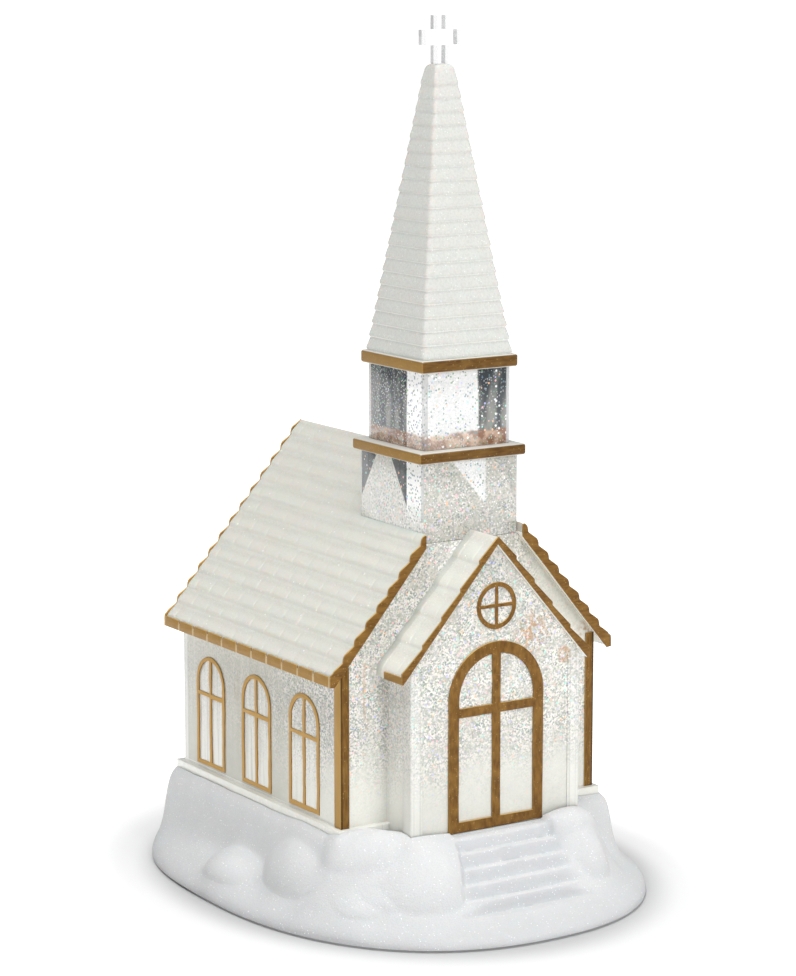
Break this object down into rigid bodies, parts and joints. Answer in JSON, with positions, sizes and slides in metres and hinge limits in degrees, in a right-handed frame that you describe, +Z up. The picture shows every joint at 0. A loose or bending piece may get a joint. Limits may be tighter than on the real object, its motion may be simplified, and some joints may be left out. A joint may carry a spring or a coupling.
{
  "type": "led christmas chapel",
  "caption": "Lighted water chapel: a clear liquid-filled chapel with frosted roofs, spire and gold trim on a snow base with steps, holding a glitter pump, lights and batteries.",
  "frame": {"origin": "centre of the bounding box's bottom, on the surface that the chapel stands on", "axes": "+Z up, -Y towards the viewer who faces the door, +X to that viewer's right"},
  "size_m": [0.172, 0.212, 0.34],
  "materials": {
    "snow": "matt moulded snow with fine glitter",
    "white_plastic": "moulded white plastic",
    "cell_sleeve": "printed sleeve without wording",
    "contact_steel": "nickel plated",
    "board_green": "coated circuit board",
    "board_white": "white coated circuit board",
    "slider_black": "moulded black plastic",
    "foot_rubber": "matt",
    "motor_can": "plated can",
    "magnet": "bare ferrite",
    "lamp": "clear domed diode, warm white",
    "plug": "soft white plug",
    "liquid": "clear liquid with suspended glitter",
    "clear_acrylic": "clear, polished",
    "frosted": "frosted white with fine glitter",
    "gold_paint": "hand painted antique gold"
  },
  "bodies": {
    "chapel": {"snow_base": "snow", "base_plate": "white_plastic", "contact_left": "contact_steel", "contact_right": "contact_steel", "circuit_board": "board_green", "switch_body": "contact_steel", "motor": "motor_can", "light_board": "board_white", "light_left": "lamp", "light_right": "lamp", "chamber_floor": "clear_acrylic", "filler_plug": "plug", "impeller_pin": "contact_steel", "liquid_fill": "liquid", "chapel_walls": "clear_acrylic", "nave_roof": "frosted", "porch_roof": "frosted", "tower": "clear_acrylic", "lower_band": "gold_paint", "belfry": "clear_acrylic", "upper_band": "gold_paint", "spire": "frosted", "spire_cross": "clear_acrylic", "front_verge_right": "gold_paint", "front_verge_left": "gold_paint", "rear_verge": "gold_paint", "eave_trim_left": "gold_paint", "eave_trim_right": "gold_paint", "porch_verge": "gold_paint", "door_frame": "gold_paint", "round_window": "gold_paint", "battery_cell_1": "cell_sleeve", "window_left_1": "gold_paint", "window_right_1": "gold_paint", "battery_cell_2": "cell_sleeve", "window_left_2": "gold_paint", "window_right_2": "gold_paint", "battery_cell_3": "cell_sleeve", "window_left_3": "gold_paint", "window_right_3": "gold_paint", "foot_1": "foot_rubber", "plate_screw_1": "contact_steel", "foot_2": "foot_rubber", "plate_screw_2": "contact_steel", "foot_3": "foot_rubber", "plate_screw_3": "contact_steel", "foot_4": "foot_rubber", "plate_screw_4": "contact_steel", "corner_strip_front_left": "gold_paint", "corner_strip_front_right": "gold_paint"},
    "battery_door": {"battery_door": "white_plastic"},
    "switch_slider": {"switch_slider": "slider_black"},
    "drive": {"motor_shaft": "contact_steel", "magnet_hub": "white_plastic", "drive_magnet": "magnet"},
    "impeller": {"impeller": "white_plastic", "impeller_magnet": "magnet"}
  },
  "joints": [
    {"name": "battery_door_hinge", "type": "hinge", "parent": "chapel", "child": "battery_door", "pos_m": [0, 0.02475, 0.0015], "axis": [-1, 0, 0], "range_deg": [0, 100]},
    {"name": "switch_slide", "type": "slide", "parent": "chapel", "child": "switch_slider", "axis": [1, 0, 0], "range_m": [-0.002, 0.002]},
    {"name": "drive_spin", "type": "hinge", "parent": "chapel", "child": "drive", "pos_m": [0, 0.0119, 0.03], "axis": [0, 0, 1], "continuous": true},
    {"name": "impeller_spin", "type": "hinge", "parent": "chapel", "child": "impeller", "pos_m": [0, 0.0119, 0.042], "axis": [0, 0, 1], "continuous": true}
  ],
  "couplings": [
    {"joint": "impeller_spin", "follows": "drive_spin", "ratio": 1}
  ]
}
